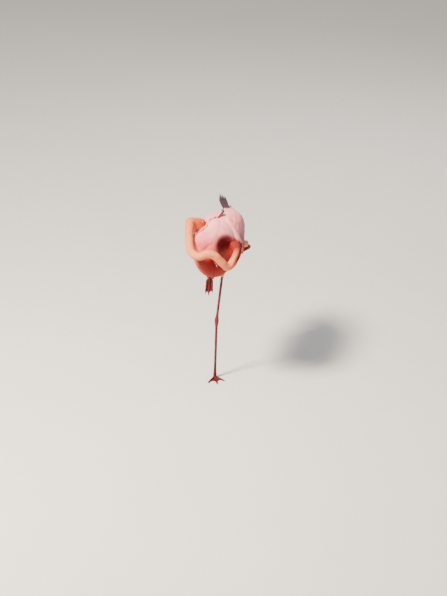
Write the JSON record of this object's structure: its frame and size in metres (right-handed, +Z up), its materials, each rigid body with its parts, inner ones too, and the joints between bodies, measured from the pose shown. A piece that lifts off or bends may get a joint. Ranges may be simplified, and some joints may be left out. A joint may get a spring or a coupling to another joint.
{
  "type": "flamingo",
  "caption": "Life-size still model of a flamingo asleep on one leg, its neck looped round its side and its bill tucked into its back.",
  "frame": {"origin": "on the floor, on the flat under the middle toe of the foot that it stands on", "axes": "+Z up, -Y the way the bird faces, +X its left side"},
  "size_m": [0.3195, 0.5791, 0.8849],
  "materials": {
    "plumage_pink": "soft feathers, pale pink",
    "plumage_rose": "soft short feathers, salmon",
    "plumage_orange": "short velvety feathers, orange",
    "black_feather": "satin flight feathers, black with a purple cast",
    "leg_skin": "scaled skin, dark brown red",
    "foot_skin": "scaled skin, dark crimson",
    "claw_horn": "smooth black horn",
    "bill_horn": "smooth horn, pale pink with a black tip",
    "eye": "wet, pale yellow with a dark pupil"
  },
  "bodies": {
    "root": {"torso": "plumage_pink", "tail": "plumage_pink", "wing_left": "plumage_pink", "wing_right": "plumage_pink", "thigh_left": "plumage_pink", "thigh_right": "plumage_pink", "neck_1": "plumage_rose", "neck_2": "plumage_rose", "neck_3": "plumage_rose", "neck_4": "plumage_rose", "neck_5": "plumage_rose", "neck_6": "plumage_rose", "head": "plumage_orange", "primaries_left": "black_feather", "primaries_right": "black_feather", "tibia_left": "leg_skin", "tibia_right": "leg_skin", "tarsus_left": "leg_skin", "tarsus_right": "leg_skin", "foot_left": "foot_skin", "foot_right": "foot_skin", "claw_left_outer": "claw_horn", "claw_left_middle": "claw_horn", "claw_left_inner": "claw_horn", "claw_right_outer": "claw_horn", "claw_right_middle": "claw_horn", "claw_right_inner": "claw_horn", "bill_upper": "bill_horn", "bill_lower": "bill_horn", "eye_left": "eye", "eye_right": "eye"}
  },
  "joints": []
}
